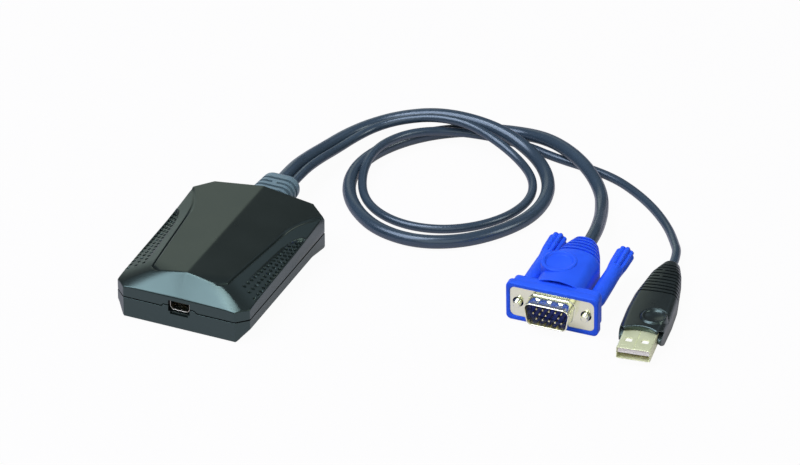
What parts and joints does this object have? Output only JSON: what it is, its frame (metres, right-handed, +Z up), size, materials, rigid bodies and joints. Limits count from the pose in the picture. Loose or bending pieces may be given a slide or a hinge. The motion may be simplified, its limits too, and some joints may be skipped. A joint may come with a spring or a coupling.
{
  "type": "kvm console adapter",
  "caption": "Small gabled plastic case with a mini-B socket and a slotted strain relief, on two looped cords that end in a blue video plug with thumbscrews and a serial bus plug.",
  "frame": {"origin": "under the middle of the case, on the surface it stands on", "axes": "+X across the case towards the plugs, +Y along the case from the socket to the strain relief, +Z up"},
  "size_m": [0.1829, 0.167, 0.0192],
  "materials": {
    "case_plastic": "dark charcoal moulded ABS, satin roof and finely textured sides",
    "board_laminate": "green solder mask on glass-epoxy laminate",
    "chip_epoxy": "black moulding epoxy",
    "header_nylon": "natural white nylon",
    "screw_steel": "zinc-plated steel",
    "plated_steel": "bright nickel-plated folded or drawn steel sheet",
    "socket_plastic": "black moulded nylon",
    "contact_gold": "gold-flashed copper alloy",
    "relief_plastic": "blue-grey flexible moulding, smooth",
    "blue_plastic": "strong blue moulded PVC, satin",
    "insulator_plastic": "blue moulded thermoplastic",
    "tongue_plastic": "white moulded thermoplastic",
    "hood_plastic": "charcoal moulded PVC, matt",
    "cord_jacket": "dark slate-grey extruded PVC jacket, satin"
  },
  "bodies": {
    "adapter": {"upper_cover": "case_plastic", "lower_case": "case_plastic", "circuit_board": "board_laminate", "board_chips": "chip_epoxy", "cord_headers": "header_nylon", "case_screws": "screw_steel", "socket_shell": "plated_steel", "socket_tongue": "socket_plastic", "socket_contacts": "contact_gold", "strain_relief": "relief_plastic", "video_hood": "blue_plastic", "video_shell": "plated_steel", "video_insulator": "insulator_plastic", "video_pins": "contact_gold", "serial_shell": "plated_steel", "serial_tongue": "tongue_plastic", "serial_contacts": "contact_gold", "serial_hood": "hood_plastic", "video_cord": "cord_jacket", "serial_cord": "cord_jacket"},
    "thumbscrew_left": {"knob_left": "blue_plastic", "jackscrew_left": "screw_steel"},
    "thumbscrew_right": {"knob_right": "blue_plastic", "jackscrew_right": "screw_steel"}
  },
  "joints": [
    {"name": "thumbscrew_left_turn", "type": "hinge", "parent": "adapter", "child": "thumbscrew_left", "pos_m": [0.10481, 0.01746, 0.00772], "axis": [-0.0349, 0.998, 0.0523], "continuous": true},
    {"name": "thumbscrew_right_turn", "type": "hinge", "parent": "adapter", "child": "thumbscrew_right", "pos_m": [0.12979, 0.01834, 0.00772], "axis": [-0.0349, 0.998, 0.0523], "continuous": true}
  ]
}
